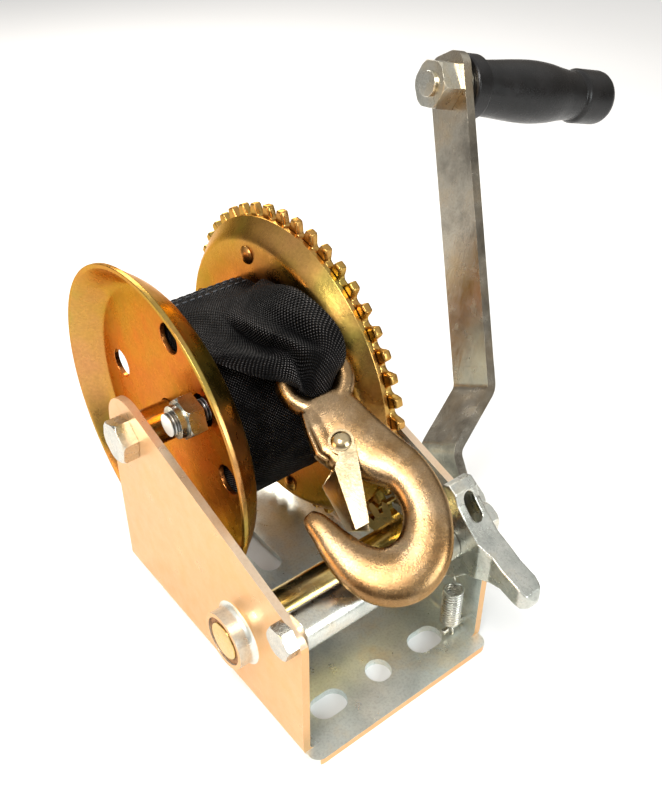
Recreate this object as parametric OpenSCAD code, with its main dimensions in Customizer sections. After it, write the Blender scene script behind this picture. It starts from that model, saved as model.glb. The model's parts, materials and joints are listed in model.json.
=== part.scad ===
// Boat trailer winch: channel frame, geared strap drum, pinion shaft with crank, and a pawl lever.
// X runs along the drum axle from the hook-side plate to the crank, +Y to the rear, +Z up.
// The origin is the centre of the base's underside.

/* [Frame] */
// Width over both side plates
frame_w = 102; // [100:0.5:104]
// Length of the base, front to rear
base_len = 150; // [145:1:160]
// Thickness of the bent sheet
sheet = 3.5; // [3:0.25:4]
// Outer radius of the two long bends
bend_r = 6; // [5:0.5:8]
// How far the base reaches in front of the side plates
lip = 7; // [4:1:9]
// Width of a mounting slot or hole
slot_w = 12; // [9:0.5:12.5]
// Overall length of a front slot
front_slot_len = 17.5; // [14:0.5:20]
// Distance between the centres of the two front slots
front_slot_pitch = 56; // [52:1:58]
// Distance from the base's front edge to the front row of holes
front_row = 19.5; // [17:0.5:22]
// Overall length of the rear slot
rear_slot_len = 36; // [24:1:40]

/* [Axes] */
// Height of the drum axle above the mounting surface
axle_z = 91; // [90:0.5:96]
// Distance of the drum axle behind the base's centre
axle_y = 57; // [54:0.5:58]
// Distance of the tie bolt in front of the base's centre
tie_back = 60; // [58:0.5:61]
// Height of the tie bolt
tie_z = 69; // [67:0.5:70]

/* [Gears] */
// Tooth size (pitch diameter divided by tooth count)
gear_module = 3.4; // [3.3:0.05:3.45]
// Teeth on the drum's ring gear
gear_teeth = 47; // [46:1:48]
// Teeth on the pinion
pinion_teeth = 10; // [9:1:11]
// Thickness of the ring gear's toothed rim
gear_w = 4.2; // [3.5:0.1:4.5]

/* [Drum] */
// Radius of the flange rims
flange_r = 75.3; // [74:0.1:75.5]
// Thickness of the flange sheet
flange_t = 2.5; // [2:0.25:3]
// How far the gear-side flange's rim stands out from its strap side
flare = 10.5; // [9:0.5:11]
// How far the left flange's rim stands out from its strap side
left_flare = 14.4; // [12:0.1:15]
// Outer radius of the drum barrel
barrel_r = 20; // [19:0.5:22]
// Clear width between the flanges
drum_w = 51.5; // [51:0.25:53]
// Radius of the wound strap
roll_r = 47; // [44:0.5:48]
// Width of the strap
strap_w = 49.5; // [48:0.5:50]

/* [Crank] */
// Distance from the shaft to the first bend
crank_low = 30; // [28:1:34]
// Length of the slanted stretch
crank_slant = 37; // [34:1:42]
// Length of the upper stretch
crank_high = 144.5; // [120:0.5:170]
// Angle of the slanted stretch away from the plate
slant_angle = 58; // [50:1:62]
// Angle of the upper stretch away from the plate
lean_angle = 15; // [10:1:18]
// Angle that the arm is turned to the rear, from upright
crank_turn = 29.5; // [20:0.5:35]
// Width of the arm
crank_w = 25; // [22:1:26]
// Thickness of the arm
crank_t = 5; // [4.5:0.25:6]
// Length of the grip
grip_len = 99; // [95:1:115]

/* [Hidden] */
$fn = 64;
eps = 0.01;

// Plates and drum along X
plate_out = frame_w / 2;
plate_in = plate_out - sheet;
drum_mid = -1.25;
drum_left = drum_mid - drum_w / 2;
drum_right = drum_mid + drum_w / 2;
apex_r = 18;
corner_r = 9;
corner_z = 65.5;
plate_front = -base_len / 2 + lip;
plate_rear = axle_y + apex_r;
front_row_y = -base_len / 2 + front_row;
rear_slot_y = 40;

// Fits
run_gap = 0.06;
hole_gap = 0.3;
face_gap = 0.1;

// Axle, shaft and tie bolt
axle_r = 6;
sleeve_r = 9;
shaft_r = 8.5;
bushing_r = 11;
boss_r = 13;
boss_len = 8;
tie_y = -tie_back;
tie_r = 4;
tube_r = 8;
centre_dist = gear_module * (gear_teeth + pinion_teeth) / 2;
shaft_y = -24;
shaft_z = axle_z - sqrt(pow(centre_dist, 2) - pow(axle_y - shaft_y, 2));
mesh_angle = atan2(shaft_z - axle_z, shaft_y - axle_y);

// Gear and pinion along X
gear_x = drum_right + flare + 0.3;
pinion_x = gear_x - 0.8;
pinion_w = gear_w + 1.6;
tooth_shift = 0.45;
addendum = 0.55;
backlash = 0.22;
web_t = 4;
rim_t = 2;
rivet_ring = 60;
rivet_count = 6;
rivet_turn = 76;
hole_ring = 45.5;
flange_hole_r = 7;
hole_turn = 7;

// Strap bolt through the flanges
bolt_r = 5;
bolt_ring = 36;
bolt_turn = 143;
bolt_y = axle_y + bolt_ring * cos(bolt_turn);
bolt_z = axle_z + bolt_ring * sin(bolt_turn);
bolt_end = -plate_in + 1.2;

// Pawl lever
lever_left = 31.1;
lever_w = 12.3;
lever_t = 2.2;
// Lever's ridge from the nose at the rear to the finger's tip at the front, then its lower edge, in Y-Z
lever_ridge = [[-49, 84], [-51, 91], [-54.5, 96], [-58, 97.5], [-61.5, 95.3], [-64, 90], [-68, 86],
    [-76, 79.5], [-82, 77], [-89, 73.5], [-97, 71.3], [-101.5, 68.8], [-103.4, 65.3], [-102.8, 62.3],
    [-100, 61.2]];
lever_foot = [[-96, 61.6], [-89, 63.5], [-81, 61.5], [-72, 58.5], [-65, 50], [-57, 48.5], [-52, 54],
    [-48, 62], [-46, 74]];
pin_y = -61;
pin_z = 54;
spring_x = 38.8;
spring_low = 12.5;
spring_high = 34.5;
spring_base_y = -60;
spring_coil_r = 4.2;
wire_r = 0.65;

// Crank
crank_x = 72.5;
spindle_r = 6;
fold_r = 5;
grip_gap = 0.08;
grip_cap = 9;
knee = [0, crank_low];
elbow = knee + crank_slant * [sin(slant_angle), cos(slant_angle)];
tip = elbow + crank_high * [sin(lean_angle), cos(lean_angle)];

// Hook, in its own frame: x across, y from the bowl to the eye, z out of the hook's flat
hook_at = [7.2, -2.6, 126.2];
hook_turn = [29, -13.5, -21];
hook_t = 11;
eye_y = 3;
eye_out = 16.3;
eye_in = 8.8;
eye_t = 6;
pivot_at = [-0.5, -28];
bar_y = eye_y + 12.5;
loop_in = 6.5;
loop_out = 9.4;
loop_w = 11;
// Centre line of the hook from the eye round the bowl to the point: [x, y, half width]
hook_line = [[0, -6, 12], [1, -13, 12], [4, -24, 13], [11, -36, 11.5], [18, -46, 9.5], [20.5, -57, 9],
    [19, -68, 9.5], [13, -78, 11], [4, -83, 12], [-5, -81.5, 11.2], [-12, -75, 9.5],
    [-16.5, -66, 7.5], [-19.5, -57, 5.5], [-21.5, -52, 4.2]];

// ---------- helpers ----------

// Turns a drawing in the Y-Z plane into a solid that starts at x and runs w along +X
module along_x(x, w) {
    translate([x, 0, 0]) rotate([90, 0, 90]) linear_extrude(w) children();
}

// Round bar along +X, centred on [y, z]
module bar_x(x, w, r, y, z) {
    translate([x, y, z]) rotate([0, 90, 0]) cylinder(r = r, h = w);
}

// Ring along +X
module ring_x(x, w, r_out, r_in, y, z) {
    difference() {
        bar_x(x, w, r_out, y, z);
        bar_x(x - 1, w + 2, r_in, y, z);
    }
}

// Hexagon prism standing on z = 0 with its top corners chamfered
module hex_block(flats, h) {
    corner = flats / 2 / cos(30);
    intersection() {
        cylinder(r = corner, h = h, $fn = 6);
        union() {
            cylinder(r = corner, h = h - flats * 0.06);
            translate([0, 0, h - flats * 0.06]) cylinder(r1 = corner, r2 = corner * 0.9, h = flats * 0.06);
        }
    }
}

// Nut with a nylon collar, standing on z = 0, bored for a bolt of radius r
module lock_nut(flats, h, collar_h, r) {
    difference() {
        union() {
            hex_block(flats, h);
            cylinder(r = flats * 0.43, h = h + collar_h);
        }
        translate([0, 0, -1]) cylinder(r = r, h = h + collar_h + 2);
    }
}

// Bolt along +Z: head below z = 0, shank above
module hex_bolt(flats, head_h, r, len) {
    mirror([0, 0, 1]) hex_block(flats, head_h);
    translate([0, 0, -eps]) cylinder(r = r, h = len + eps);
}

// Smooth interpolation between four values, t from 0 to 1
function spline(a, b, c, d, t) = 0.5 * (2 * b + (c - a) * t + (2 * a - 5 * b + 4 * c - d) * t * t
    + (3 * b - a - 3 * c + d) * t * t * t);
function spline_path(p, steps) = [for (i = [0:len(p) - 2], s = [0:steps - 1])
    spline(p[max(i - 1, 0)], p[i], p[i + 1], p[min(i + 2, len(p) - 1)], s / steps), p[len(p) - 1]];
function slope_at(p, i) = let (d = p[min(i + 1, len(p) - 1)] - p[max(i - 1, 0)])
    [d[0], d[1]] / norm([d[0], d[1]]);
function side_of(p, i, s) = let (d = slope_at(p, i))
    [p[i][0] - s * p[i][2] * d[1], p[i][1] + s * p[i][2] * d[0]];
function arc(c, r, a0, a1, n) = [for (i = [0:n]) let (a = a0 + (a1 - a0) * i / n)
    [c[0] + r * cos(a), c[1] + r * sin(a)]];

// ---------- frame ----------

// Angle of the sloping top edge, tangent to the apex round and the corner round
corner_y = plate_front + corner_r;
slope_run = atan2(axle_z - corner_z, axle_y - corner_y);
slope_gap = asin((apex_r - corner_r) / norm([axle_y - corner_y, axle_z - corner_z]));
edge_normal = slope_run + 90 + slope_gap;

module plate_outline() {
    n = [cos(edge_normal), sin(edge_normal)];
    polygon([[plate_front, bend_r], [plate_front, corner_z], [corner_y, corner_z] + corner_r * n,
        [axle_y, axle_z] + apex_r * n, [axle_y, axle_z], [plate_rear, axle_z], [plate_rear, bend_r]]);
    translate([corner_y, corner_z]) circle(corner_r);
    translate([axle_y, axle_z]) circle(apex_r);
}

// Drawn collar that holds a shaft bushing, blended into the plate by a fillet
module shaft_boss() {
    fillet = 3;
    translate([0, shaft_y, shaft_z]) rotate([0, 90, 0]) rotate_extrude() difference() {
        square([boss_r + fillet, boss_len]);
        translate([boss_r + fillet, fillet]) circle(fillet);
        translate([boss_r, fillet]) square([fillet + 1, boss_len]);
    }
}

module side_plate() {
    along_x(plate_in, sheet) plate_outline();
    translate([plate_out, 0, 0]) shaft_boss();
}

// Rounded bend between the base and one side plate
module bend() {
    translate([plate_out - bend_r, 0, bend_r]) rotate([-90, 0, 0]) translate([0, 0, plate_front])
        rotate_extrude(angle = 90) translate([bend_r - sheet, 0]) square([sheet, plate_rear - plate_front]);
}

module slot(len) {
    offset_len = (len - slot_w) / 2;
    translate([0, 0, -1]) linear_extrude(sheet + 2) {
        square([2 * offset_len, slot_w], center = true);
        for (s = [-1, 1]) translate([s * offset_len, 0]) circle(slot_w / 2);
    }
}

module frame() {
    lip_r = 5;
    lip_side = plate_out - 1;
    flat_w = frame_w - 2 * bend_r;
    color("gainsboro") difference() {
        union() {
            for (s = [0, 1]) mirror([s, 0, 0]) {
                side_plate();
                bend();
            }
            translate([-flat_w / 2, plate_front, 0]) cube([flat_w, plate_rear - plate_front, sheet]);
            linear_extrude(sheet) {
                translate([lip_r - lip_side, -base_len / 2]) square([2 * (lip_side - lip_r), lip]);
                translate([-lip_side, lip_r - base_len / 2]) square([2 * lip_side, lip - lip_r]);
                for (s = [-1, 1]) translate([s * (lip_side - lip_r), lip_r - base_len / 2]) circle(lip_r);
            }
        }
        for (s = [-1, 1]) translate([s * front_slot_pitch / 2, front_row_y, 0]) slot(front_slot_len);
        translate([0, front_row_y, -1]) cylinder(r = slot_w / 2, h = sheet + 2);
        translate([0, rear_slot_y, 0]) rotate([0, 0, 90]) slot(rear_slot_len);
        bar_x(-plate_out - 1, frame_w + 2, axle_r + hole_gap, axle_y, axle_z);
        bar_x(-plate_out - 20, frame_w + 40, bushing_r, shaft_y, shaft_z);
        bar_x(-plate_out - 1, frame_w + 2, tie_r + hole_gap, tie_y, tie_z);
    }
}

module shaft_bushing(s) {
    color("darkgoldenrod") mirror([s, 0, 0])
        ring_x(plate_in, sheet + boss_len - 0.5, bushing_r, shaft_r + run_gap, shaft_y, shaft_z);
}

module left_shaft_bushing() {
    shaft_bushing(1);
}

module right_shaft_bushing() {
    shaft_bushing(0);
}

module drum_axle_bolt() {
    color("lightsteelblue") translate([-plate_out, axle_y, axle_z]) rotate([0, 90, 0]) rotate([0, 0, 12])
        hex_bolt(18, 7.5, axle_r, frame_w + 16);
}

module drum_axle_nut() {
    color("silver") translate([plate_out, axle_y, axle_z]) rotate([0, 90, 0]) lock_nut(18, 8.5, 4, axle_r);
}

module drum_axle_sleeve() {
    color("goldenrod") ring_x(-plate_in, 2 * plate_in, sleeve_r, axle_r + hole_gap / 2, axle_y, axle_z);
}

module tie_bolt() {
    color("lightsteelblue") translate([-plate_out, tie_y, tie_z]) rotate([0, 90, 0]) rotate([0, 0, 20])
        hex_bolt(13, 5.5, tie_r, frame_w + 5);
}

module tie_bolt_nut() {
    color("silver") translate([plate_out, tie_y, tie_z]) rotate([0, 90, 0]) lock_nut(13, 4.2, 0.4, tie_r);
}

module tie_spacer_tube() {
    len = plate_in + lever_left - face_gap;
    color("silver") ring_x(-plate_in, len, tube_r, tie_r + hole_gap, tie_y, tie_z);
}

module lever_spacer() {
    x = lever_left + lever_w + face_gap;
    color("silver") ring_x(x, plate_in - x, tube_r, tie_r + hole_gap, tie_y, tie_z);
}

// ---------- drum ----------

module drum_barrel() {
    color("goldenrod") ring_x(drum_left, drum_w, barrel_r, barrel_r - 2, axle_y, axle_z);
}

module drum_bushings() {
    w = 8;
    color("dimgray") for (x = [drum_left, drum_right - w])
        ring_x(x, w, barrel_r - 2, sleeve_r + run_gap, axle_y, axle_z);
}

// Dished flange, drawn from its strap face at z = 0 with the rim flaring along +z
module flange_body(flat_r, depth) {
    bow = flange_r - flat_r;
    rise = depth - rim_t;
    hub_r = sleeve_r + 0.5;
    steps = 6;
    rotate_extrude($fn = 96) polygon(concat(
        [[hub_r, 0]],
        [for (i = [0:steps]) let (u = i / steps) [flat_r + bow * u, rise * u * u * (2 - u)]],
        [[flange_r, rise + rim_t]],
        [for (i = [steps:-1:0]) let (u = i / steps, t = flange_t + (rim_t - flange_t) * u)
            [flat_r + bow * u - 1.3 * u - 0.6, rise * u * u * (2 - u) + t]],
        [[hub_r, flange_t]]));
}

module flange_holes(bolt_hole) {
    for (i = [0:3]) rotate([0, 0, hole_turn + 90 * i]) translate([hole_ring, 0, -1])
        cylinder(r = flange_hole_r, h = 20);
    rotate([0, 0, bolt_turn]) translate([bolt_ring, 0, -1]) cylinder(r = bolt_hole, h = 20);
}

// Puts a drawing with z along the axle in place on the drum: z becomes +X, angles count from +Y to +Z
module on_drum(x) {
    translate([x, axle_y, axle_z]) rotate([90, 0, 90]) children();
}

module left_flange() {
    color("peru") on_drum(drum_left) difference() {
        mirror([0, 0, 1]) flange_body(62, left_flare);
        mirror([0, 0, 1]) flange_holes(flange_hole_r + 0.5);
    }
}

module right_flange() {
    color("peru") on_drum(drum_right) difference() {
        flange_body(65.5, flare);
        flange_holes(bolt_r + 0.2);
        rivet_holes();
    }
}

module rivet_holes() {
    for (i = [0:rivet_count - 1]) rotate([0, 0, rivet_turn + 360 / rivet_count * i])
        translate([rivet_ring, 0, -1]) cylinder(r = 2.5, h = 20);
}

// Involute tooth outline: half the angle that a tooth of a gear with n teeth spans at radius r
pressure = 20;
function inv(a) = tan(a) * 180 / PI - a;
function pitch_r(n) = gear_module * n / 2;
function base_r(n) = pitch_r(n) * cos(pressure);
function tooth_half(n, shift, r) = let (a = acos(min(1, base_r(n) / max(r, base_r(n)))))
    90 / n + 2 * shift * tan(pressure) / n * 180 / PI + inv(pressure) - inv(a)
    - backlash / pitch_r(n) * 90 / PI;
function polar(r, a) = [r * cos(a), r * sin(a)];

// One tooth about the angle mid: root, rising flank, falling flank, root
function tooth(n, shift, r_root, r_tip, mid) = let (r0 = max(base_r(n), r_root), steps = 5,
    r = [for (i = [0:steps]) r0 + (r_tip - r0) * i / steps], foot = tooth_half(n, shift, r0) + 0.6)
    concat([polar(r_root, mid - foot)],
        [for (i = [0:steps]) polar(r[i], mid - tooth_half(n, shift, r[i]))],
        [for (i = [steps:-1:0]) polar(r[i], mid + tooth_half(n, shift, r[i]))],
        [polar(r_root, mid + foot)]);
function gear_points(n, shift, r_root, r_tip) =
    [for (k = [0:n - 1]) each tooth(n, shift, r_root, r_tip, 360 / n * k)];

module ring_gear() {
    rim_in = 71;
    rise = gear_x - drum_right - flange_t;
    tip_r = gear_module * (gear_teeth / 2 + addendum - tooth_shift);
    root_r = gear_module * (gear_teeth / 2 - 1.2 - tooth_shift);
    color("darkkhaki") on_drum(drum_right + flange_t) difference() {
        union() {
            translate([0, 0, rise]) rotate([0, 0, mesh_angle + 180 / gear_teeth]) linear_extrude(gear_w)
                difference() {
                    polygon(gear_points(gear_teeth, -tooth_shift, root_r, tip_r));
                    circle(rim_in);
                }
            rotate_extrude($fn = 96) polygon([[sleeve_r + 0.6, 0], [rim_in - 6.2, 0], [rim_in - 1, rise],
                [rim_in + 0.5, rise], [rim_in + 0.5, rise + gear_w], [rim_in - 3, rise + gear_w],
                [rim_in - 6, web_t], [sleeve_r + 0.6, web_t]]);
        }
        flange_holes(bolt_r + 0.2);
        rivet_holes();
    }
}

module gear_rivets() {
    grip_t = flange_t + web_t;
    head_r = 4.6;
    color("goldenrod") on_drum(drum_right) for (i = [0:rivet_count - 1])
        rotate([0, 0, rivet_turn + 360 / rivet_count * i]) translate([rivet_ring, 0, 0]) {
            rotate([180, 0, 0]) rivet_dome(head_r, 2.8);
            translate([0, 0, -eps]) cylinder(r = 2.4, h = grip_t + 2 * eps);
            translate([0, 0, grip_t]) cylinder(r1 = 3.8, r2 = 3.2, h = 1.6);
        }
}

// Shallow dome standing on z = 0
module rivet_dome(r, h) {
    ball = (r * r + h * h) / (2 * h);
    rotate_extrude() intersection() {
        translate([0, h - ball]) circle(ball);
        square([r, h]);
    }
}

module strap_bolt() {
    head_x = drum_right + flange_t + web_t;
    color("silver") translate([head_x, bolt_y, bolt_z]) rotate([0, -90, 0])
        hex_bolt(16, 5.4, bolt_r, head_x - bolt_end);
}

module strap_bolt_nut() {
    from_end = 13.6;
    color("silver") translate([bolt_end + from_end, bolt_y, bolt_z]) rotate([0, -90, 0]) rotate([0, 0, 14])
        lock_nut(17, 7.5, 3.2, bolt_r);
}

module strap_roll() {
    color("black") difference() {
        ring_x(drum_mid - strap_w / 2, strap_w, roll_r, barrel_r + 0.1, axle_y, axle_z);
        bar_x(drum_left, drum_w, bolt_r + 0.2, bolt_y, bolt_z);
    }
}

// ---------- strap end and hook ----------

module on_hook() {
    translate(hook_at) rotate(hook_turn) children();
}

// Plain closed solid of the strap end: the flat stretch over the roll, then gathered into the hook's eye
module strap_tail() {
    loop_depth = 2 * loop_out;
    color("black") difference() {
        union() {
            hull() {
                translate([drum_mid - 23, axle_y - 8, axle_z + roll_r - 1]) cube([46, 8, 5]);
                gather_block();
            }
            hull() {
                gather_block();
                on_hook() translate([1 - loop_w / 2, bar_y + loop_out - 5.5, -3]) cube([loop_w - 2, 4, 8]);
            }
            on_hook() loop_bar(loop_out, loop_w);
        }
        on_hook() loop_bar(loop_in, loop_depth);
        bar_x(drum_left - 30, drum_w + 60, roll_r + 0.4, axle_y, axle_z);
    }
}

// Where the flat stretch ends and the gathering starts
module gather_block() {
    translate([drum_mid - 17, axle_y - 24, axle_z + roll_r - 5]) cube([40, 8, 7]);
}

// Bar across the hook, along the top of its eye
module loop_bar(r, w) {
    translate([-w / 2, bar_y, 0]) rotate([0, 90, 0]) cylinder(r = r, h = w);
}

module hook_outline() {
    path = spline_path(hook_line, 5);
    last = len(path) - 1;
    polygon(concat([for (i = [0:last]) side_of(path, i, 1)], [for (i = [last:-1:0]) side_of(path, i, -1)]));
    translate([path[last][0], path[last][1]]) circle(path[last][2]);
}

module hook_body() {
    lug = [[-11.5, -8], [-12.4, -30], [-8, -33.5], [2, -33], [4, -12]];
    color("darkgoldenrod") on_hook() difference() {
        union() {
            translate([0, 0, -hook_t / 2]) linear_extrude(hook_t) {
                difference() {
                    hook_outline();
                    translate([0, eye_y]) circle(eye_out + 1.5);
                }
                polygon(lug);
            }
            translate([0, eye_y, -eye_t / 2]) cylinder(r = eye_out, h = eye_t);
            translate([0, 0, -eye_t / 2]) linear_extrude(eye_t) intersection() {
                hook_outline();
                translate([0, eye_y]) circle(eye_out + 2);
            }
        }
        translate([0, eye_y, -10]) cylinder(r = eye_in, h = 20);
        translate([pivot_at[0], pivot_at[1], -10]) cylinder(r = 2.3, h = 20);
        translate([pivot_at[0], pivot_at[1], hook_t / 2 - 3]) cylinder(r = 5.2, h = 4);
    }
}

module latch_rivet() {
    ear = hook_t / 2 + 1.8;
    color("gold") on_hook() translate([pivot_at[0], pivot_at[1], 0]) {
        translate([0, 0, -ear - eps]) cylinder(r = 2.2, h = 2 * ear + 2 * eps);
        translate([0, 0, ear]) rivet_dome(4.3, 2.2);
        translate([0, 0, -ear]) rotate([180, 0, 0]) rivet_dome(4.3, 2.2);
    }
}

module latch_spring() {
    coil = 0.8;
    color("silver") on_hook() translate([pivot_at[0], pivot_at[1], hook_t / 2 - 2.9]) rotate_extrude()
        for (i = [0:1]) translate([3.5, coil + i * 1.3]) circle(coil);
}

module hook_latch() {
    ear_t = 1.2;
    gap = 0.4;
    ear_z = hook_t / 2 + gap;
    // Left edge of the front and the rear ear: the web between them slopes back
    front_edge = [[-6.9, -37.5], [-8.4, -62.5]];
    rear_edge = [[-13.2, -38.5], [-11, -58.5]];
    right_edge = [[-2.6, -62], [4.4, -31]];
    color("gold") on_hook() {
        latch_ear(ear_z, ear_t, concat(front_edge, right_edge));
        latch_ear(-ear_z - ear_t, ear_t, concat(rear_edge, right_edge));
        hull() {
            edge_strip(front_edge, ear_z, ear_t);
            edge_strip(rear_edge, -ear_z - ear_t, ear_t);
        }
    }
}

// One cheek of the latch, with the pivot's hole
module latch_ear(z, t, outline) {
    translate([0, 0, z]) linear_extrude(t) difference() {
        union() {
            polygon(concat(outline, [pivot_at]));
            translate(pivot_at) circle(5.2);
        }
        translate(pivot_at) circle(2.2 + run_gap);
    }
}

// Strip of one cheek along its left edge, where the web joins it
module edge_strip(edge, z, t) {
    strip_w = 1.2;
    translate([0, 0, z]) linear_extrude(t)
        polygon([edge[0], edge[1], edge[1] + [strip_w, 0], edge[0] + [strip_w, 0]]);
}

// ---------- shaft, crank and grip ----------

module drive_shaft() {
    left = -plate_out - boss_len;
    color("khaki") bar_x(left, crank_x + crank_t + 6.5 - left, shaft_r, shaft_y, shaft_z);
}

module pinion() {
    tip_r = gear_module * (pinion_teeth / 2 + addendum + tooth_shift);
    root_r = gear_module * (pinion_teeth / 2 - 1.3 + tooth_shift);
    color("khaki") translate([0, shaft_y, shaft_z]) along_x(pinion_x, pinion_w) difference() {
        rotate(mesh_angle + 180)
            polygon(gear_points(pinion_teeth, tooth_shift, root_r, tip_r));
        circle(shaft_r);
    }
}

module shaft_collar() {
    x = plate_out + boss_len + 0.5;
    color("silver") ring_x(x, crank_x - x, 12, shaft_r, shaft_y, shaft_z);
}

module on_crank() {
    translate([crank_x, shaft_y, shaft_z]) rotate([-crank_turn, 0, 0]) children();
}

// Frame of the grip: z runs along the spindle, away from the arm
module on_tip() {
    on_crank() translate([tip[0], 0, tip[1]]) rotate([0, 90 + lean_angle, 0]) children();
}

// Corner points of the bent strip, with each bend rounded by an arc
function strip_bend(p, a0, a1, outer) = let (mid = (a0 + a1) / 2, side = a1 > a0 ? 1 : -1,
    c = p + side * (fold_r + (side > 0 ? crank_t : 0)) / cos((a1 - a0) / 2) * [cos(mid), -sin(mid)],
    r = fold_r + (outer ? crank_t : 0))
    arc(c, r, side > 0 ? 180 - a0 : -a0, side > 0 ? 180 - a1 : -a1, 5);

// Flat strip with rounded corners: the bolt hole's centre is the origin and the strip runs len along +x.
// It is a hair slimmer than the bent strip that it runs into.
module arm_end(len, reach, corner) {
    slim = 0.05;
    half = crank_w / 2 - slim;
    translate([0, 0, slim]) linear_extrude(crank_t - 2 * slim) {
        for (s = [-1, 1]) translate([corner - reach, s * (half - corner)]) circle(corner);
        translate([-reach, corner - half]) square([len + reach, 2 * (half - corner)]);
        translate([corner - reach, -half]) square([len + reach - corner, 2 * half]);
    }
}

module crank_arm() {
    low_flat = crank_low - 10;
    high_flat = crank_high - 10;
    foot = [0, low_flat];
    head = tip - high_flat * [sin(lean_angle), cos(lean_angle)];
    across = crank_t * [cos(lean_angle), -sin(lean_angle)];
    near = concat([foot], strip_bend(knee, 0, slant_angle, true),
        strip_bend(elbow, slant_angle, lean_angle, false), [head]);
    far = concat([foot + [crank_t, 0]], strip_bend(knee, 0, slant_angle, false),
        strip_bend(elbow, slant_angle, lean_angle, true), [head + across]);
    last = len(far) - 1;
    color("lightgray") difference() {
        union() {
            on_crank() translate([0, crank_w / 2, 0]) rotate([90, 0, 0]) linear_extrude(crank_w)
                polygon(concat(near, [for (i = [last:-1:0]) far[i]]));
            on_crank() rotate([0, 90, 0]) rotate([0, 0, 180]) arm_end(low_flat + 4, 12.5, 11);
            on_tip() arm_end(high_flat + 4, 15, 8);
        }
        bar_x(crank_x - 1, crank_t + 2, shaft_r, shaft_y, shaft_z);
        on_tip() translate([0, 0, -1]) cylinder(r = spindle_r, h = crank_t + 2);
    }
}

module crank_nut() {
    color("silver") translate([crank_x + crank_t, shaft_y, shaft_z]) rotate([0, 90, 0]) difference() {
        hex_block(24, 6);
        translate([0, 0, -1]) cylinder(r = shaft_r, h = 8);
    }
}

module handle_bolt() {
    head_at = crank_t + 1.7 + grip_len - grip_cap;
    thread_out = 12.5;
    color("silver") on_tip() {
        translate([0, 0, -thread_out]) cylinder(r = spindle_r, h = head_at + thread_out + eps);
        translate([0, 0, head_at]) cylinder(r = 9, h = 5);
    }
}

module handle_nut() {
    color("silver") on_tip() rotate([180, 0, 0]) rotate([0, 0, 8]) difference() {
        hex_block(21, 11);
        translate([0, 0, -1]) cylinder(r = spindle_r, h = 13);
    }
}

module grip_washer() {
    color("silver") on_tip() translate([0, 0, crank_t]) difference() {
        cylinder(r = 12, h = 1.5);
        translate([0, 0, -1]) cylinder(r = spindle_r, h = 4);
    }
}

// Grip turned about the spindle: collar, swelling body, neck and rounded end, [radius, distance from the arm]
module handle_grip() {
    l = grip_len;
    bore = spindle_r + grip_gap;
    body = spline_path([[12.9, 10], [13.8, 22], [15, 36], [15.4, 47], [14.7, 58], [13.1, 68],
        [12.2, l - 22]], 4);
    color("dimgray") on_tip() translate([0, 0, crank_t + 1.6]) rotate_extrude() polygon(concat(
        [[bore, 0], [14.6, 0], [15.5, 0.9], [15.5, 8.4], [14.8, 9.2]],
        body,
        [[13, l - 21], [13.8, l - 19.6], [13.8, l - 5]],
        arc([8.8, l - 5], 5, 0, 70, 4),
        [[9.4, l - 0.2], [9.4, l - grip_cap - 0.1], [bore, l - grip_cap - 0.1]]));
}

// ---------- pawl ----------

// Lever seen from above: full width over the pivot, slimmer along the finger, with a round tip
module lever_plan() {
    mid = lever_left + lever_w / 2;
    right = lever_left + lever_w;
    tip_r = 5.4;
    polygon([[lever_left, -40], [lever_left, -77], [right - 2 * tip_r, -83], [right - 2 * tip_r, -98],
        [right, -98], [right, -40]]);
    translate([right - tip_r, -98]) circle(tip_r);
}

// Space under the lever's ridge, open below and to the rear
module lever_hollow() {
    offset(delta = -lever_t) polygon(concat([[-30, 40], [-30, 84]], lever_ridge, [[-98, 40]]));
}

// Slot through the ridge beside the pivot
module lever_window() {
    slot_r = 2.7;
    half_len = 4;
    translate([lever_left + lever_w / 2 + 0.6, -66, 88.8]) rotate([45, 0, 0]) translate([0, 0, -5])
        linear_extrude(10) {
            square([2 * slot_r, 2 * half_len], center = true);
            for (s = [-1, 1]) translate([0, s * half_len]) circle(slot_r);
        }
}

// Claws that face the pinion from both sides of the lever's pivot
module lever_claws() {
    polygon([[-66, 56], [-57, 60], [-50, 40], [-48.4, 36.6], [-52, 35.8], [-60, 46]]);
    polygon([[-56, 76], [-47, 77], [-33, 68], [-24.8, 65.4], [-25.7, 62.4], [-32, 62.2], [-48, 65]]);
}

module pawl_lever() {
    low = 40;
    color("lightgray") {
        difference() {
            intersection() {
                along_x(lever_left, lever_w) polygon(concat(lever_ridge, lever_foot));
                translate([0, 0, low]) linear_extrude(2 * low) lever_plan();
            }
            intersection() {
                along_x(lever_left, lever_w) lever_hollow();
                translate([0, 0, low]) linear_extrude(2 * low) offset(delta = -lever_t) lever_plan();
            }
            bar_x(lever_left - 1, lever_w + 2, tie_r + run_gap, tie_y, tie_z);
            lever_window();
        }
        along_x(lever_left, lever_w) difference() {
            lever_claws();
            translate([tie_y, tie_z]) circle(12);
            translate([pin_y, pin_z]) circle(3.2);
        }
    }
}

module pawl_spring_pin() {
    color("silver") bar_x(lever_left + lever_t, lever_w - 2 * lever_t, 1.5, pin_y, pin_z);
}

module spring_anchor() {
    rod_r = 1.3;
    left = spring_x - 4;
    color("silver") bar_x(left, plate_in - left, rod_r, spring_base_y, bend_r + rod_r + 0.1);
}

module pawl_spring() {
    len = spring_high - spring_low;
    color("silver") translate([spring_x, spring_base_y, spring_low]) difference() {
        cylinder(r = spring_coil_r + wire_r, h = len);
        translate([0, 0, -1]) cylinder(r = spring_coil_r - wire_r, h = len + 2);
    }
}

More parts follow.
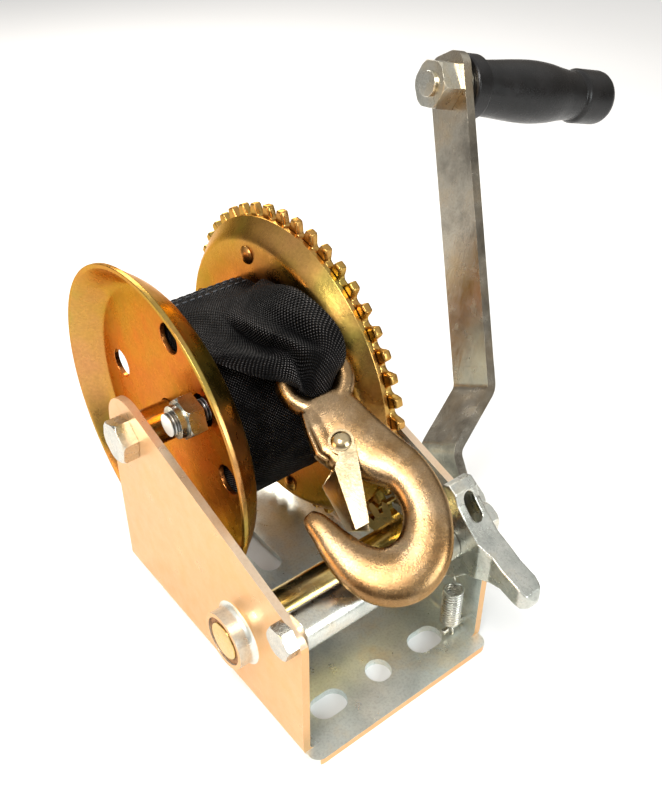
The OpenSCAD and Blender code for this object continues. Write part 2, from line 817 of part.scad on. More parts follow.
frame();
left_shaft_bushing();
right_shaft_bushing();
drum_axle_bolt();
drum_axle_nut();
drum_axle_sleeve();
tie_bolt();
tie_bolt_nut();
tie_spacer_tube();
lever_spacer();
spring_anchor();
pawl_spring();
strap_tail();
drum_barrel();
drum_bushings();
left_flange();
right_flange();
ring_gear();
gear_rivets();
strap_bolt();
strap_bolt_nut();
strap_roll();
drive_shaft();
pinion();
shaft_collar();
crank_arm();
crank_nut();
handle_bolt();
handle_nut();
grip_washer();
handle_grip();
pawl_lever();
pawl_spring_pin();
hook_body();
latch_rivet();
latch_spring();
hook_latch();
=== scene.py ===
import json
import math

import bpy
from mathutils import Matrix, Vector, noise


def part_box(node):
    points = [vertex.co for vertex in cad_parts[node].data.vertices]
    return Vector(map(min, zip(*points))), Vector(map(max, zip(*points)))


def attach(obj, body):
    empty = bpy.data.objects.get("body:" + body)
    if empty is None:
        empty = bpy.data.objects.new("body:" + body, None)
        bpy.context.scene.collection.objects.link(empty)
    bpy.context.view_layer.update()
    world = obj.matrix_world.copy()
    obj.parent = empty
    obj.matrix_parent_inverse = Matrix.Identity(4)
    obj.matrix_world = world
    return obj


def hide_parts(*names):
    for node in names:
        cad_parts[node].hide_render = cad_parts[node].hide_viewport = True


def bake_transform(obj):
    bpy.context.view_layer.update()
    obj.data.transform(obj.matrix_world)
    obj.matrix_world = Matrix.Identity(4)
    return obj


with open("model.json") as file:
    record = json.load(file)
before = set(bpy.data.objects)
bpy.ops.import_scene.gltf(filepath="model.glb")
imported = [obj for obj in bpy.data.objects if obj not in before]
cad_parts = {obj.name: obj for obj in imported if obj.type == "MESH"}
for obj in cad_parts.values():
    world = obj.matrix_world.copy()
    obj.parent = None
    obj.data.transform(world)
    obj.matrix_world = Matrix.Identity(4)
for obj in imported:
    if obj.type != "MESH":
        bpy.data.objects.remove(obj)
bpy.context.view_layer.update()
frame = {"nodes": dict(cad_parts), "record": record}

MM = 0.001
NODES = frame["nodes"]
JOINTS = {j["name"]: j for j in frame["record"]["behaviour"]["joints"]}


# ---------- places, read from the frame where it has them ----------

def centre(node):
    low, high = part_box(node)
    return (Vector(low) + Vector(high)) / 2


def extent(node):
    low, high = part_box(node)
    return Vector(high) - Vector(low)


AXLE = centre("strap_roll")
ROLL_R = extent("strap_roll").z / 2
ROLL_W = extent("strap_roll").x
BARREL_R = extent("drum_barrel").z / 2
BAR = Vector(JOINTS["hook_swing"]["pos_m"])
HOOK_X = -Vector(JOINTS["hook_swing"]["axis"])   # across the hook
HOOK_Z = Vector(JOINTS["latch_open"]["axis"])    # off its flat
HOOK_Y = HOOK_Z.cross(HOOK_X)                    # from the bowl towards the strap
EYE_R = 12.5 * MM          # middle of the eye's ring
EYE = BAR - HOOK_Y * EYE_R
PLATE_X = 50.9 * MM        # just inside the left plate's outer face
PLATE_FRONT = -67.5 * MM   # just inside the frame's front face
EDGE_LOW = 62 * MM         # above this height, faces that look forward or up are cut edges


def on_hook(x, y, z):
    """A point in millimetres from the eye's centre: across the hook, towards the strap, and off its flat."""
    return EYE + (HOOK_X * x + HOOK_Y * y + HOOK_Z * z) * MM


def on_drum(x, radius, degrees):
    """A point round the drum's axle, with angles from +Y to +Z."""
    a = math.radians(degrees)
    return Vector((x, AXLE.y + radius * math.cos(a), AXLE.z + radius * math.sin(a)))


# ---------- node materials ----------

class Nodes:
    """Short calls for building a procedural material."""

    def __init__(self, name, coords="Object"):
        self.material = bpy.data.materials.new(name)
        self.material.use_nodes = True
        self.tree = self.material.node_tree
        self.shader = self.tree.nodes["Principled BSDF"]
        self.place = self.add("ShaderNodeTexCoord").outputs[coords]

    def add(self, kind, **values):
        node = self.tree.nodes.new(kind)
        for key, value in values.items():
            setattr(node, key, value)
        return node

    def link(self, a, b):
        self.tree.links.new(a, b)

    def math(self, kind, a, b=None):
        node = self.add("ShaderNodeMath", operation=kind)
        for i, value in enumerate((a, b)):
            if value is None:
                continue
            if isinstance(value, (int, float)):
                node.inputs[i].default_value = value
            else:
                self.link(value, node.inputs[i])
        return node.outputs[0]

    def stretched(self, scale):
        node = self.add("ShaderNodeMapping")
        node.inputs["Scale"].default_value = scale
        self.link(self.place, node.inputs["Vector"])
        return node.outputs[0]

    def noise(self, scale, detail=3.0, rough=0.55, stretch=None):
        node = self.add("ShaderNodeTexNoise")
        node.inputs["Scale"].default_value = scale
        node.inputs["Detail"].default_value = detail
        node.inputs["Roughness"].default_value = rough
        self.link(self.stretched(stretch) if stretch else self.place, node.inputs["Vector"])
        return node.outputs["Fac"]

    def ramp(self, value, *stops):
        node = self.add("ShaderNodeValToRGB")
        band = node.color_ramp
        while len(band.elements) < len(stops):
            band.elements.new(0.5)
        for element, (at, colour) in zip(band.elements, stops):
            element.position = at
            element.color = (*colour, 1)
        self.link(value, node.inputs["Fac"])
        return node.outputs["Color"]

    def grey(self, value, low, high, at=(0.3, 0.7)):
        return self.ramp(value, (at[0], (low,) * 3), (at[1], (high,) * 3))

    def mix(self, factor, a, b, kind="MIX"):
        node = self.add("ShaderNodeMix", data_type="RGBA", blend_type=kind)
        for name, value in (("Factor", factor), ("A", a), ("B", b)):
            socket = [s for s in node.inputs if s.name == name and s.enabled][0]
            if isinstance(value, (int, float)):
                socket.default_value = value
            elif isinstance(value, tuple):
                socket.default_value = (*value, 1)
            else:
                self.link(value, socket)
        return [s for s in node.outputs if s.enabled][0]

    def warm_reflection_mask(self):
        """Painted warm reflection on the frame: strongest on its left and front faces, weaker on its cut
        edges.
        """
        coords = self.tree.nodes["Texture Coordinate"]
        normal = self.add("ShaderNodeSeparateXYZ")
        self.link(coords.outputs["Normal"], normal.inputs[0])
        spot = self.add("ShaderNodeSeparateXYZ")
        self.link(coords.outputs["Object"], spot.inputs[0])
        facing, sideways = -0.9, 0.3
        on_faces, on_edges = 0.85, 0.55
        left = self.math("MULTIPLY", self.math("LESS_THAN", normal.outputs["X"], facing),
                         self.math("LESS_THAN", spot.outputs["X"], -PLATE_X))
        front = self.math("MULTIPLY", self.math("LESS_THAN", normal.outputs["Y"], facing),
                          self.math("LESS_THAN", spot.outputs["Y"], PLATE_FRONT))
        along = self.math("LESS_THAN", self.math("ABSOLUTE", normal.outputs["X"]), sideways)
        cut = self.math("MULTIPLY", along, self.math("GREATER_THAN", spot.outputs["Z"], EDGE_LOW))
        faces = self.math("MULTIPLY", self.math("MAXIMUM", left, front), on_faces)
        return self.math("MAXIMUM", faces, self.math("MULTIPLY", cut, on_edges))

    def bump(self, height, strength, depth):
        node = self.add("ShaderNodeBump")
        node.inputs["Strength"].default_value = strength
        node.inputs["Distance"].default_value = depth
        self.link(height, node.inputs["Height"])
        self.link(node.outputs["Normal"], self.shader.inputs["Normal"])

    def set(self, **values):
        for key, value in values.items():
            socket = self.shader.inputs[key.replace("_", " ")]
            if isinstance(value, (int, float)):
                socket.default_value = value
            elif isinstance(value, tuple):
                socket.default_value = (*value, 1)
            else:
                self.link(value, socket)
        return self.material


# Painted reflection: the warm surroundings reflected in the frame's left and front faces and its cut edges.
WARM_REFLECTION = (0.74, 0.38, 0.11)


def zinc(name, light, dark, warm, rough=(0.2, 0.36), streak=(1, 1, 1), metallic=1.0, with_warm_reflection=False):
    """Bright zinc plate: cool metal with faint passivation tints, small stains and handling scratches, and on
    request a painted warm reflection on its left and front faces and cut edges.
    """
    n = Nodes(name)
    tint = n.ramp(n.noise(38, 5, 0.6), (0.32, dark), (0.5, light), (0.68, warm))
    spots = n.grey(n.noise(900, 2, 0.5), 0.86, 1.0, (0.3, 0.55))
    colour = n.mix(1.0, tint, spots, "MULTIPLY")
    if with_warm_reflection:
        # Painted warm reflection, laid on by which way each face looks.
        colour = n.mix(n.warm_reflection_mask(), colour, WARM_REFLECTION)
    scratch = n.noise(420, 3, 0.7, streak)
    n.bump(n.math("ADD", scratch, n.noise(60, 2)), 0.12, 0.0004)
    return n.set(Base_Color=colour, Metallic=metallic, Roughness=n.grey(n.noise(120, 4), *rough))


def chromate(name):
    """Yellow zinc chromate: orange and rose inside, olive gold towards the drum's rims, with patches."""
    n = Nodes(name)
    split = n.add("ShaderNodeSeparateXYZ")
    n.link(n.place, split.inputs[0])
    dy = n.math("SUBTRACT", split.outputs["Y"], AXLE.y)
    dz = n.math("SUBTRACT", split.outputs["Z"], AXLE.z)
    radius = n.math("SQRT", n.math("ADD", n.math("MULTIPLY", dy, dy), n.math("MULTIPLY", dz, dz)))
    outer_r, drift = 0.095, 0.03
    wander = n.math("MULTIPLY", n.noise(26, 3), drift)
    band = n.math("MULTIPLY", n.math("ADD", radius, wander), 1 / outer_r)
    rings = n.ramp(band, (0.25, (0.52, 0.19, 0.05)), (0.5, (0.58, 0.15, 0.04)), (0.66, (0.54, 0.13, 0.03)),
                   (0.76, (0.34, 0.16, 0.02)), (0.84, (0.40, 0.28, 0.05)), (0.93, (0.46, 0.33, 0.09)))
    patches = n.ramp(n.noise(26, 4, 0.5), (0.36, (0.38, 0.34, 0.07)), (0.5, (0.58, 0.25, 0.07)),
                     (0.66, (0.60, 0.17, 0.09)))
    colour = n.mix(0.45, rings, patches)
    fine = n.noise(700, 3, 0.6)
    colour = n.mix(1.0, colour, n.grey(fine, 0.8, 1.0), "MULTIPLY")
    n.bump(fine, 0.15, 0.0003)
    return n.set(Base_Color=colour, Metallic=1.0, Roughness=n.grey(n.noise(90, 4), 0.2, 0.36),
                 Specular_Tint=(1.0, 0.7, 0.4))


def forged(name):
    """Forged steel under yellow zinc: speckled gold with a fine grain."""
    n = Nodes(name)
    grain = n.noise(1500, 3, 0.65)
    patches = n.ramp(n.noise(38, 4, 0.6), (0.3, (0.28, 0.14, 0.05)), (0.5, (0.36, 0.22, 0.10)),
                     (0.62, (0.44, 0.30, 0.17)), (0.75, (0.34, 0.27, 0.12)))
    colour = n.mix(1.0, patches, n.grey(grain, 0.65, 1.0), "MULTIPLY")
    n.bump(grain, 0.3, 0.0003)
    return n.set(Base_Color=colour, Metallic=1.0, Roughness=n.grey(n.noise(260, 3), 0.2, 0.34),
                 Specular_Tint=(1.0, 0.82, 0.6))


def bronze(name):
    """Sintered bronze: a fine, dull grain."""
    n = Nodes(name)
    colour = n.ramp(n.noise(1100, 2), (0.35, (0.16, 0.07, 0.02)), (0.65, (0.42, 0.22, 0.09)))
    n.bump(n.noise(1800, 2), 0.3, 0.0002)
    return n.set(Base_Color=colour, Metallic=1.0, Roughness=0.5)


def plastic(name, low, high, rough):
    """Moulded plastic with a fine skin and slightly uneven gloss."""
    n = Nodes(name)
    skin = n.noise(1300, 3, 0.6)
    colour = n.ramp(n.noise(60, 3), (0.3, low), (0.7, high))
    n.bump(skin, 0.25, 0.0003)
    return n.set(Base_Color=colour, Roughness=n.grey(n.noise(150, 3), *rough), Specular_IOR_Level=0.3)


YARN = 1.5          # pitch of the weave, in millimetres as the UVs are
STRAP_WIDTH = 50    # in millimetres too
LAYER = 1.35 * MM   # how much each turn adds to the roll's radius


def webbing(name):
    """Woven polyester: rows of raised yarns with painted glints, from UVs in millimetres; the glints come in
    painted sheen patches, and painted shade takes them out of the folds' valleys.
    """
    n = Nodes(name, "UV")
    split = n.add("ShaderNodeSeparateXYZ")
    n.link(n.place, split.inputs[0])
    weave = 2 * math.pi / YARN
    across = n.math("SINE", n.math("MULTIPLY", split.outputs["X"], weave))
    along = n.math("SINE", n.math("MULTIPLY", split.outputs["Y"], weave))
    yarn = n.math("MULTIPLY", across, along)
    # Painted glints: the raised yarns are painted light grey.
    lit = n.grey(yarn, 0.0, 1.0, (0.35, 0.85))
    # Painted sheen: broad patches where the painted glints are strongest.
    sheen_patches = n.grey(n.noise(0.06, 3), 0.06, 0.9, (0.38, 0.66))
    # Painted shade in the folds' valleys, from the mesh's pointiness: it takes the glints out of the hollows
    # and leaves them on the ridges.
    folds = n.grey(n.add("ShaderNodeNewGeometry").outputs["Pointiness"], 0.04, 1.0, (0.47, 0.53))
    glint = n.mix(1.0, n.mix(1.0, lit, sheen_patches, "MULTIPLY"), folds, "MULTIPLY")
    # Black yarn under painted light grey glints.
    colour = n.mix(glint, (0.0015, 0.0015, 0.002), (0.46, 0.43, 0.42))
    n.bump(yarn, 0.8, 0.3)
    return n.set(Base_Color=colour, Roughness=0.55, Specular_IOR_Level=0.1)


def threaded(name, axis, pitch=1.5 * MM):
    """Zinc-plated thread: turns of a fine wave along the bolt, with painted shade in its roots and painted
    highlight on its crests.
    """
    n = Nodes(name)
    split = n.add("ShaderNodeSeparateXYZ")
    n.link(n.place, split.inputs[0])
    wave = n.math("SINE", n.math("MULTIPLY", split.outputs[axis], 2 * math.pi / pitch))
    # Painted shade and highlight: the thread's roots dark, its crests light.
    colour = n.ramp(wave, (0.2, (0.16, 0.16, 0.16)), (0.75, (0.66, 0.68, 0.68)))
    n.bump(wave, 0.7, 0.0006)
    return n.set(Base_Color=colour, Metallic=1.0, Roughness=0.32)


def pale_floor(name):
    """Plain studio floor, very slightly uneven in tone."""
    n = Nodes(name)
    colour = n.ramp(n.noise(3, 2), (0.3, (0.86, 0.86, 0.86)), (0.7, (0.88, 0.88, 0.88)))
    return n.set(Base_Color=colour, Roughness=0.8)


ZINC = zinc("zinc", (0.62, 0.62, 0.56), (0.42, 0.44, 0.40), (0.66, 0.58, 0.42))
SHEET_ZINC = zinc("sheet_zinc", (0.76, 0.81, 0.77), (0.60, 0.67, 0.65), (0.78, 0.73, 0.58),
                  rough=(0.26, 0.42), streak=(1, 0.06, 1), metallic=0.75, with_warm_reflection=True)
BRUSHED_ZINC = zinc("brushed_zinc", (0.50, 0.46, 0.38), (0.26, 0.24, 0.20), (0.56, 0.46, 0.32),
                    rough=(0.16, 0.3), streak=(1, 1, 0.08))
YELLOW_STEEL = zinc("yellow_steel", (0.70, 0.52, 0.18), (0.50, 0.36, 0.10), (0.76, 0.62, 0.34),
                    rough=(0.16, 0.3), streak=(0.05, 1, 1))
CHROMATE = chromate("chromate")
FORGED = forged("forged")
PRESSED = zinc("pressed_latch", (0.56, 0.44, 0.26), (0.42, 0.30, 0.15), (0.60, 0.50, 0.34),
               rough=(0.16, 0.28))
BRONZE = bronze("bronze")
NYLON = plastic("nylon", (0.02, 0.02, 0.02), (0.05, 0.05, 0.05), (0.4, 0.6))
GRIP = plastic("grip_plastic", (0.004, 0.004, 0.004), (0.012, 0.011, 0.011), (0.22, 0.36))
WEBBING = webbing("webbing")
THREAD = threaded("thread", "X")
STITCH = plastic("stitch_thread", (0.01, 0.011, 0.014), (0.06, 0.065, 0.075), (0.35, 0.5))

FINISH = {
    "frame": SHEET_ZINC, "crank_arm": BRUSHED_ZINC, "pawl_lever": ZINC, "handle_grip": GRIP,
    "drum_bushings": NYLON, "left_shaft_bushing": BRONZE, "right_shaft_bushing": BRONZE,
    "hook_body": FORGED, "hook_latch": PRESSED, "latch_rivet": PRESSED, "strap_bolt": THREAD,
    **{name: YELLOW_STEEL for name in ("drive_shaft", "pinion", "drum_axle_sleeve")},
    **{name: CHROMATE for name in ("left_flange", "right_flange", "ring_gear", "gear_rivets", "drum_barrel")},
}


# Nodes with a stamped or rolled edge that is rounder than a plain deburred one
EDGE = {"crank_arm": 0.9 * MM, "frame": 0.5 * MM}
PLAIN_EDGE = 0.35 * MM


def dress_cad(name, obj):
    """Gives a CAD node its finish, and a small bevel that catches light along its edges."""
    obj.data.materials.clear()
    obj.data.materials.append(FINISH.get(name, ZINC))
    weld = obj.modifiers.new("weld", "WELD")
    weld.merge_threshold = 0.004 * MM
    flat = obj.modifiers.new("flat", "DECIMATE")
    flat.decimate_type = "DISSOLVE"
    flat.angle_limit = math.radians(0.4)
    soft_edge = obj.modifiers.new("edge", "BEVEL")
    soft_edge.width = EDGE.get(name, min(PLAIN_EDGE, min(extent(name)) * 0.08))
    soft_edge.segments = 3 if name in EDGE else 2
    soft_edge.limit_method = "ANGLE"
    soft_edge.angle_limit = math.radians(32)
    for face in obj.data.polygons:
        face.use_smooth = True
    smooth = obj.modifiers.new("normals", "WEIGHTED_NORMAL")
    smooth.keep_sharp = True


for node_name, node_object in NODES.items():
    dress_cad(node_name, node_object)


def melt_together(obj, voxel, passes):
    """One skin over everything in the object, smoothed so that joins and edges run into each other."""
    skin = obj.modifiers.new("skin", "REMESH")
    skin.mode = "VOXEL"
    skin.voxel_size = voxel
    skin.use_smooth_shade = True
    melt = obj.modifiers.new("melt", "SMOOTH")
    melt.iterations = passes
    melt.factor = 0.5


def round_off(name, voxel, passes):
    """Melts the edges of a stamped or blanked piece, whose corners are all rounded."""
    obj = NODES[name]
    obj.modifiers.clear()
    melt_together(obj, voxel, passes)


round_off("ring_gear", 0.55 * MM, 7)
round_off("pawl_lever", 0.35 * MM, 8)


# ---------- mesh helpers ----------

def mesh_object(name, points, faces, material, uvs=None):
    """A smooth-shaded object in the scene, made from plain points and faces."""
    mesh = bpy.data.meshes.new(name)
    mesh.from_pydata([tuple(p) for p in points], [], faces)
    mesh.materials.append(material)
    if uvs:
        layer = mesh.uv_layers.new(name="UVMap")
        for loop in mesh.loops:
            layer.data[loop.index].uv = uvs[loop.vertex_index]
    for face in mesh.polygons:
        face.use_smooth = True
    mesh.validate()
    obj = bpy.data.objects.new(name, mesh)
    bpy.context.collection.objects.link(obj)
    return obj


def grid_faces(rows, columns, wrap=False):
    """Faces of a grid of points given row by row. With wrap, the last column joins the first."""
    last = columns if wrap else columns - 1
    faces = []
    for here in range(0, (rows - 1) * columns, columns):
        there = here + columns
        for c in range(last):
            beside = (c + 1) % columns
            faces.append((here + c, here + beside, there + beside, there + c))
    return faces


def curve_point(points, t):
    """Smooth curve through the points, t from 0 to 1."""
    span = t * (len(points) - 1)
    i = min(int(span), len(points) - 2)
    s = span - i
    a, b, c, d = (points[max(0, min(len(points) - 1, k))] for k in (i - 1, i, i + 1, i + 2))
    bend = 2 * a - 5 * b + 4 * c - d
    twist = 3 * b - a - 3 * c + d
    return 0.5 * (2 * b + (c - a) * s + bend * s * s + twist * s ** 3)


def apply_modifiers(obj):
    """Makes the object's modifiers part of its mesh."""
    bpy.context.view_layer.update()
    evaluated = obj.evaluated_get(bpy.context.evaluated_depsgraph_get())
    mesh = bpy.data.meshes.new_from_object(evaluated)
    obj.modifiers.clear()
    obj.data = mesh


def joined(name, parts, material):
    """One object of one material from several, each left where it stands."""
    points, faces = [], []
    for part in parts:
        start = len(points)
        points += [part.matrix_world @ v.co for v in part.data.vertices]
        faces += [[start + k for k in face.vertices] for face in part.data.polygons]
        bpy.data.objects.remove(part)
    return mesh_object(name, points, faces, material)


def swept(name, stations, normal, power=2.4, count=28):
    """A closed bar swept through stations of (point, half width, half thickness).

    Its sections are ovals, squarer as power rises above 2, with count points each.
    """
    rings = []
    for i, (p, wide, thick) in enumerate(stations):
        ahead = stations[min(i + 1, len(stations) - 1)][0] - stations[max(i - 1, 0)][0]
        side = ahead.cross(normal).normalized()
        ring = []
        for k in range(count):
            a = 2 * math.pi * k / count
            c, s = math.cos(a), math.sin(a)
            ring.append(p + side * wide * math.copysign(abs(c) ** (2 / power), c)
                        + normal * thick * math.copysign(abs(s) ** (2 / power), s))
        rings.append(ring)
    points = [q for ring in rings for q in ring]
    faces = grid_faces(len(rings), count, True)
    faces += [list(range(count))[::-1], [len(points) - count + k for k in range(count)]]
    return mesh_object(name, points, faces, FORGED)


# ---------- wound strap ----------

def strap_roll():
    """Wound webbing: each layer's woven edge stands out on the roll's two sides."""
    layers = round((ROLL_R - BARREL_R) / LAYER)
    pitch = (ROLL_R - BARREL_R) / layers
    half = ROLL_W / 2
    profile = []
    for i in range(layers):
        low = BARREL_R + i * pitch
        inset = (noise.noise((i * 0.7, 3.1, 0)) * 0.5 + 0.5) * 0.5 * MM
        profile += [(half - inset - 0.35 * MM, low + 0.05 * pitch), (half - inset, low + 0.5 * pitch)]
    profile.append((half - 0.5 * MM, ROLL_R - 0.1 * MM))
    columns = 16
    top_half = half - 1.2 * MM
    top = []
    for k in range(columns + 1):
        sunk = 0.25 * MM if k % columns else 0.05 * MM
        top.append((top_half - k / columns * 2 * top_half, ROLL_R - sunk))
    ring = profile + top + [(-x, r) for x, r in reversed(profile)]
    steps = 180
    unevenness = 0.12 * MM
    points, uvs = [], []
    for s in range(steps + 1):
        a = 360 * s / steps
        for x, r in ring:
            uneven = unevenness * noise.noise((x * 90, a * 0.05, r * 40))
            points.append(on_drum(AXLE.x + x, r + uneven, a))
            uvs.append((x / MM, math.radians(a) * ROLL_R / MM + r / MM))
    obj = mesh_object("wound_strap", points, grid_faces(steps + 1, len(ring)), WEBBING, uvs)
    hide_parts("strap_roll")
    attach(obj, "drum")


# ---------- strap end ----------

# The strap's end across its width, from left to right selvage, in millimetres as on_hook() takes them: where
# it leaves the roll, where it is folded, over the eye's ring, and where it dips into the eye.
LEAVING = [(-36, 21, 7), (-28, 20, 9), (-21, 19, 9), (-17, 25, 1), (-14, 26, 10), (-9, 32, 3), (-2, 36, 5),
           (6, 39, 7), (6, 38, -1)]
FOLDED = [(-22, 8, 7), (-16, 7, 10), (-9, 8, 11), (-6, 13, 6), (-3, 12, 14), (2, 15, 8), (8, 18, 12),
          (15, 17, 11), (13, 15, 3)]
OVER_EYE = [(-16, 5, 5), (-10, 1, 6), (-7, -1, 7), (-5, 1, 5), (1, 3, 11), (6, 4, 12), (11, 5, 11),
            (15, 4, 7), (12, 1, 1)]
IN_EYE = [(-7.6, 0, 1), (-7, -2, 1.5), (-6.5, -3.5, 2), (-5.5, -4.5, 1.5), (-3, -6.5, 2.5), (1, -7.3, 3),
          (4.6, -5.8, 2.5), (6.8, -3, 2), (7.6, 0, 0)]


def strap_stations():
    """Cross-sections of the strap's end in metres, from the stitched part on the roll to behind the eye."""
    spread = [2 * i / (len(LEAVING) - 1) - 1 for i in range(len(LEAVING))]
    half = 23.6 * MM
    lift = 1.5 * MM
    rows = [[on_drum(AXLE.x + u * half, ROLL_R + lift, a) for u in spread] for a in (46, 60, 74, 86)]
    # The right selvage lifts off the roll first
    rows.append([on_drum(AXLE.x + u * half, ROLL_R + lift + 2.6 * MM * (1 + u), 99 - 6 * u) for u in spread])
    rows += [[on_hook(*p) for p in row] for row in (LEAVING, FOLDED, OVER_EYE, IN_EYE)]
    behind = -6
    rows.append([on_hook(0.75 * x, 0.6 * y, behind) for x, y, z in IN_EYE])
    return rows


def strap_tail():
    """The strap's end: flat where it is sewn down on the roll, then gathered in folds into the hook's eye."""
    across, along = 72, 120
    rows = strap_stations()
    points, uvs = [], []
    run = 0.0
    last_mid = None
    for r in range(along + 1):
        section = [curve_point([row[k] for row in rows], r / along) for k in range(len(LEAVING))]
        mid = section[len(section) // 2]
        run += (mid - last_mid).length / MM if last_mid else 0.0
        last_mid = mid
        for c in range(across + 1):
            points.append(curve_point(section, c / across))
            uvs.append((STRAP_WIDTH * c / across, run))
    obj = mesh_object("strap_end", points, grid_faces(along + 1, across + 1), WEBBING, uvs)
    thick = obj.modifiers.new("thickness", "SOLIDIFY")
    thick.thickness = 1.2 * MM
    thick.offset = 0
    apply_modifiers(obj)
    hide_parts("strap_tail")
    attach(obj, "frame")


def stitches():
    """Rows of heavy thread that sew the strap's end down across its width."""
    rows = (64, 70, 77)
    per_row = 12
    pitch = 3.9 * MM
    radius = ROLL_R + 2.25 * MM
    thread = ((-1.3, 0.1), (-0.9, 0.38), (0.9, 0.38), (1.3, 0.1))   # along a stitch, and its half thickness
    parts = []
    for r, a in enumerate(rows):
        out = on_drum(0, 1, a) - on_drum(0, 0, a)
        for i in range(per_row):
            x = AXLE.x + (i - (per_row - 1) / 2 + 0.25 * (r % 2)) * pitch
            stations = [(on_drum(x + d * MM, radius, a), w * MM, w * MM) for d, w in thread]
            parts.append(swept(f"stitch_{r}_{i}", stations, out, power=2.0, count=8))
    obj = joined("strap_stitches", parts, STITCH)
    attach(obj, "frame")


strap_roll()
strap_tail()
stitches()


# ---------- hook ----------

def bar(name, *stations):
    """A swept bar of the hook, from stations in millimetres."""
    sized = [(on_hook(x, y, z), wide * MM, thick * MM) for x, y, z, wide, thick in stations]
    return swept(name, sized, HOOK_Z)


def eye_ring():
    """The ring of the hook's eye: a bead slightly wider than it is thick."""
    around, section = 72, 20
    half_wide, half_thick = 4.1 * MM, 4.0 * MM
    points, faces = [], []
    for r in range(around):
        a = 2 * math.pi * r / around
        out = HOOK_X * math.cos(a) + HOOK_Y * math.sin(a)
        here, there = r * section, (r + 1) % around * section
        for c in range(section):
            b = 2 * math.pi * c / section
            points.append(EYE + out * (EYE_R + half_wide * math.cos(b)) + HOOK_Z * half_thick * math.sin(b))
            beside = (c + 1) % section
            faces.append((here + c, there + c, there + beside, here + beside))
    return mesh_object("eye", points, faces, FORGED)


def hook_body():
    """Drop-forged hook: the swept body and point, the eye and the latch lug melted into one skin."""
    # Centre line from the eye round the bowl to the point: across, along, half width, half thickness
    line = [(0, -8, 10, 3.6), (1, -16, 12, 5), (4, -27, 13, 5.6), (11, -39, 11.5, 5.8), (18, -49, 9.5, 6),
            (20.5, -60, 9, 6), (19, -71, 9.5, 6), (13, -81, 11, 6), (4, -86, 12, 6), (-5, -84.5, 11.2, 6),
            (-12, -78, 9.5, 5.6), (-16.5, -69, 7.5, 5), (-19.5, -60, 5.5, 4.2), (-21.5, -55, 4.4, 3.6),
            (-22.8, -51.8, 2.6, 2.4)]
    path = [Vector((x, y, wide)) for x, y, wide, _ in line]
    thick = [Vector((t, 0, 0)) for *_, t in line]
    stations = []
    steps = 90
    for i in range(steps + 1):
        q = curve_point(path, i / steps)
        stations.append((on_hook(q.x, q.y, 0), q.z * MM, curve_point(thick, i / steps).x * MM))
    body = swept("body", stations, HOOK_Z)
    eye = eye_ring()
    # The lug and its outer rim: across, along, off the flat, half width, half thickness
    lug = bar("lug", (-6, -12, 0, 5, 4), (-6.5, -20, 0, 5.6, 5.2), (-6, -30, 0, 6.2, 5.4), (-3, -37, 0, 5, 5))
    rim = bar("rim", (-9.6, -13, 2, 1.3, 2.4), (-10.6, -22, 3.2, 1.5, 3.4), (-10.4, -32, 3.6, 1.5, 3.4),
              (-7.6, -36, 3.4, 1.4, 3.2))
    hook = joined("forged_hook", [body, eye, lug, rim], FORGED)
    melt_together(hook, 0.6 * MM, 6)
    apply_modifiers(hook)
    for face in hook.data.polygons:
        face.use_smooth = True
    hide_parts("hook_body")
    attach(hook, "hook")


hook_body()


# ---------- pawl spring ----------

def pawl_spring():
    """Extension spring: close coils between two hooked ends."""
    low, high = (Vector(v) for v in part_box("pawl_spring"))
    mid = (low + high) / 2
    wire = 0.65 * MM       # half its thickness
    end_r = 2.6 * MM       # radius of the hooked ends
    per_turn = 16
    coil = (high.x - low.x) / 2 - wire
    foot = centre("spring_anchor")
    top = centre("pawl_spring_pin")
    turns = round((high.z - low.z) / (2.6 * wire))
    path = []
    hook_steps = 10
    for k in range(hook_steps):
        a = math.radians(-60 + 240 * k / hook_steps)
        path.append(Vector((mid.x, foot.y - end_r * math.cos(a), foot.z + end_r * math.sin(a) - 0.4 * MM)))
    for k in range(turns * per_turn + 1):
        a = 2 * math.pi * k / per_turn
        z = low.z + wire + (high.z - low.z - 2 * wire) * k / (turns * per_turn)
        path.append(Vector((mid.x + coil * math.cos(a), mid.y + coil * math.sin(a), z)))
    path.append(Vector((mid.x, mid.y, high.z + 3 * MM)))
    path.append(Vector((top.x, top.y, (high.z + top.z) / 2)))
    for k in range(hook_steps + 1):
        a = math.radians(200 - 270 * k / hook_steps)
        path.append(Vector((top.x, top.y + end_r * math.cos(a), top.z + end_r * math.sin(a))))
    curve = bpy.data.curves.new("coil_spring", "CURVE")
    curve.dimensions = "3D"
    curve.bevel_depth = wire
    curve.bevel_resolution = 3
    spline = curve.splines.new("POLY")
    spline.points.add(len(path) - 1)
    for point, at in zip(spline.points, path):
        point.co = (*at, 1)
    source = bpy.data.objects.new("coil_source", curve)
    bpy.context.collection.objects.link(source)
    bpy.context.view_layer.update()
    mesh = bpy.data.meshes.new_from_object(source.evaluated_get(bpy.context.evaluated_depsgraph_get()))
    bpy.data.objects.remove(source)
    obj = bpy.data.objects.new("coil_spring", mesh)
    bpy.context.collection.objects.link(obj)
    mesh.materials.clear()
    mesh.materials.append(ZINC)
    for face in mesh.polygons:
        face.use_smooth = True
    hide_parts("pawl_spring")
    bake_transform(obj)


pawl_spring()


# ---------- floor, light and camera ----------

def floor():
    """A floor large enough to reach past every view's frame."""
    size = 6.0
    points = [(-size, -size, 0), (size, -size, 0), (size, size, 0), (-size, size, 0)]
    obj = mesh_object("floor", points, [(0, 1, 2, 3)], pale_floor("pale_floor"))


def area_light(name, at, target, size, power, colour):
    """A soft lamp of size width and height, turned towards its target."""
    light = bpy.data.lights.new(name, "AREA")
    light.shape = "RECTANGLE"
    light.size, light.size_y = size
    light.energy = power
    light.color = colour
    obj = bpy.data.objects.new(name, light)
    bpy.context.collection.objects.link(obj)
    obj.location = at
    obj.rotation_euler = (Vector(target) - Vector(at)).to_track_quat("-Z", "Y").to_euler()


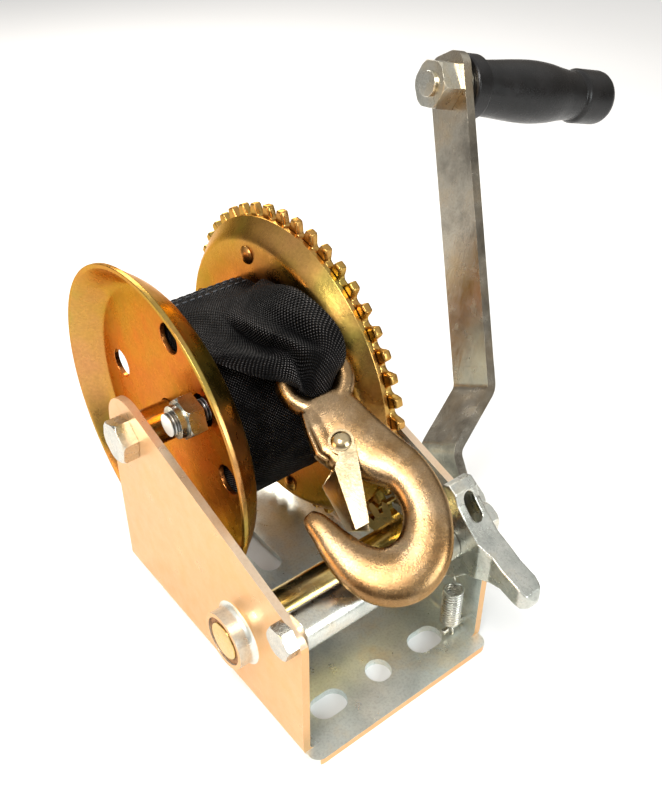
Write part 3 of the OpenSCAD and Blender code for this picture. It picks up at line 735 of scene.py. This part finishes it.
def sky():
    """Studio surround: a bright ceiling over darker, warm walls, so that the metal shows its shape."""
    world = bpy.data.worlds.new("studio")
    bpy.context.scene.world = world
    world.use_nodes = True
    tree = world.node_tree
    coords = tree.nodes.new("ShaderNodeTexCoord")
    split = tree.nodes.new("ShaderNodeSeparateXYZ")
    ramp = tree.nodes.new("ShaderNodeValToRGB")
    tree.links.new(coords.outputs["Generated"], split.inputs[0])
    tree.links.new(split.outputs["Z"], ramp.inputs["Fac"])
    band = ramp.color_ramp
    stops = ((0.0, (0.36, 0.33, 0.30)), (0.22, (0.26, 0.235, 0.21)), (0.42, (0.46, 0.43, 0.39)),
             (0.62, (0.95, 0.95, 0.93)), (1.0, (1.0, 1.0, 1.0)))
    while len(band.elements) < len(stops):
        band.elements.new(0.5)
    for element, (at, colour) in zip(band.elements, stops):
        element.position = at
        element.color = (*colour, 1)
    background = tree.nodes["Background"]
    tree.links.new(ramp.outputs["Color"], background.inputs["Color"])
    background.inputs["Strength"].default_value = 0.85


def lights():
    """A key from above, a warm lamp on the left, and weaker cool and warm ones in front and behind."""
    aim = (0.0, 0.0, 0.1)
    area_light("key", (-0.45, -0.25, 0.9), aim, (0.35, 0.35), 8, (1.0, 0.98, 0.95))
    area_light("warm_side", (-0.9, 0.2, 0.25), aim, (0.5, 0.3), 3, (1.0, 0.62, 0.30))
    area_light("front", (0.25, -0.9, 0.45), aim, (0.4, 0.4), 5, (0.92, 0.98, 1.0))
    area_light("rear", (0.3, 0.8, 0.6), aim, (0.5, 0.3), 5, (1.0, 0.95, 0.88))


def camera():
    """The photograph's view: from 38.6 degrees to the left of the front, 36.8 degrees down."""
    lens = bpy.data.cameras.new("camera")
    lens.sensor_width = 36
    lens.lens = 42.41
    obj = bpy.data.objects.new("camera", lens)
    bpy.context.collection.objects.link(obj)
    obj.location = (-0.1817, -0.2485, 0.3510)
    aim = Vector((0.4994, 0.62629, -0.59863))
    turn = aim.to_track_quat("-Z", "Y").to_matrix() @ Matrix.Rotation(math.radians(0.34), 3, "Z")
    obj.rotation_euler = turn.to_euler()
    bpy.context.scene.camera = obj


floor()
sky()
lights()
camera()
bpy.context.scene.view_settings.view_transform = "Standard"
bpy.context.view_layer.update()
